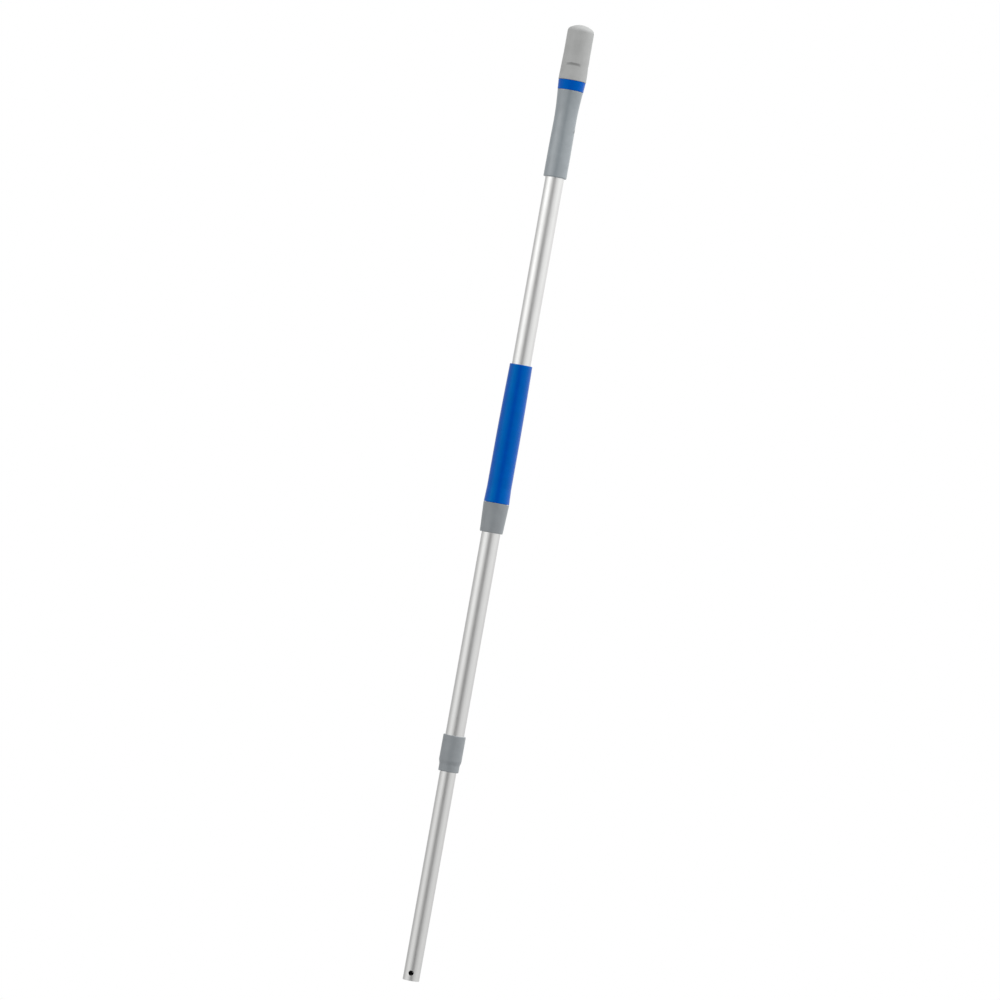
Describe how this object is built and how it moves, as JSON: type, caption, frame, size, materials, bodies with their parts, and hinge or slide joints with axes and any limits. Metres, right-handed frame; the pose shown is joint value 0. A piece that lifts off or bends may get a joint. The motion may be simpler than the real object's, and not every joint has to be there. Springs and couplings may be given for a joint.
{
  "type": "window cleaning pole",
  "caption": "Telescopic aluminium pole with a waisted top grip, a swivelling palm cap, a sliding middle grip and a socket with a lock hole for a cleaning tool.",
  "frame": {"origin": "middle of the tool end of the inner tube, at the extension shown at rest", "axes": "+Z along the pole, from the tool end to the palm cap; -Y is the side with the lock hole"},
  "size_m": [0.037, 0.037, 1.2815],
  "materials": {
    "anodised_tube": "satin anodised",
    "cap_plastic": "fine moulded texture, light grey",
    "grip_plastic": "fine moulded texture, mid grey",
    "collar_plastic": "fine moulded texture, mid grey",
    "blue_plastic": "satin, royal blue",
    "blue_sleeve": "soft touch, royal blue",
    "black_nylon": "moulded, black",
    "white_acetal": "turned, natural white",
    "red_nylon": "moulded, red",
    "steel": "turned",
    "spring_steel": "phosphated",
    "black_screw": "blackened steel"
  },
  "bodies": {
    "outer_pole": {"outer_tube": "anodised_tube", "ferrule": "collar_plastic", "ferrule_bush": "white_acetal", "grip_body": "grip_plastic", "grip_screw": "black_screw", "colour_ring": "blue_plastic", "tube_plug": "black_nylon", "swivel_spindle": "steel", "thrust_washer": "white_acetal", "spindle_washer": "steel", "retaining_ring": "spring_steel"},
    "palm_cap": {"palm_cap": "cap_plastic", "swivel_core": "black_nylon", "lower_bush": "white_acetal", "upper_bush": "white_acetal"},
    "mid_grip": {"grip_sleeve": "blue_sleeve", "grip_carrier": "black_nylon"},
    "grip_olive": {"clamp_olive": "white_acetal"},
    "grip_nut": {"clamp_nut": "collar_plastic"},
    "lock_expander": {"expander": "red_nylon"},
    "inner_pole": {"inner_tube": "anodised_tube", "socket_stop": "black_nylon", "spindle_plug": "black_nylon", "plug_pin": "steel", "lock_spindle": "steel", "lock_washer": "steel", "stop_nut": "steel"},
    "lock_cone": {"cone_nut": "black_nylon"}
  },
  "joints": [
    {"name": "cap_spin", "type": "hinge", "parent": "outer_pole", "child": "palm_cap", "pos_m": [0, 0, 1.2326], "axis": [0, 0, 1], "continuous": true},
    {"name": "grip_slide", "type": "slide", "parent": "outer_pole", "child": "mid_grip", "axis": [0, 0, 1], "range_m": [-0.265, 0.245]},
    {"name": "olive_travel", "type": "slide", "parent": "mid_grip", "child": "grip_olive", "axis": [0, 0, 1], "range_m": [-0.0031, 0]},
    {"name": "nut_turn", "type": "hinge", "parent": "grip_olive", "child": "grip_nut", "pos_m": [0, 0, 0.62], "axis": [0, 0, 1], "range_deg": [-360, 0]},
    {"name": "telescope", "type": "slide", "parent": "outer_pole", "child": "lock_expander", "axis": [0, 0, -1], "range_m": [-0.235, 0.39]},
    {"name": "twist_lock", "type": "hinge", "parent": "lock_expander", "child": "inner_pole", "pos_m": [0, 0, 0.85], "axis": [0, 0, 1], "range_deg": [-360, 0]},
    {"name": "cone_travel", "type": "slide", "parent": "lock_expander", "child": "lock_cone", "axis": [0, 0, 1], "range_m": [0, 0.0021]}
  ],
  "couplings": [
    {"joint": "olive_travel", "follows": "nut_turn", "m_per_rad": 0.00047746},
    {"joint": "cone_travel", "follows": "twist_lock", "m_per_rad": -0.00031831}
  ]
}
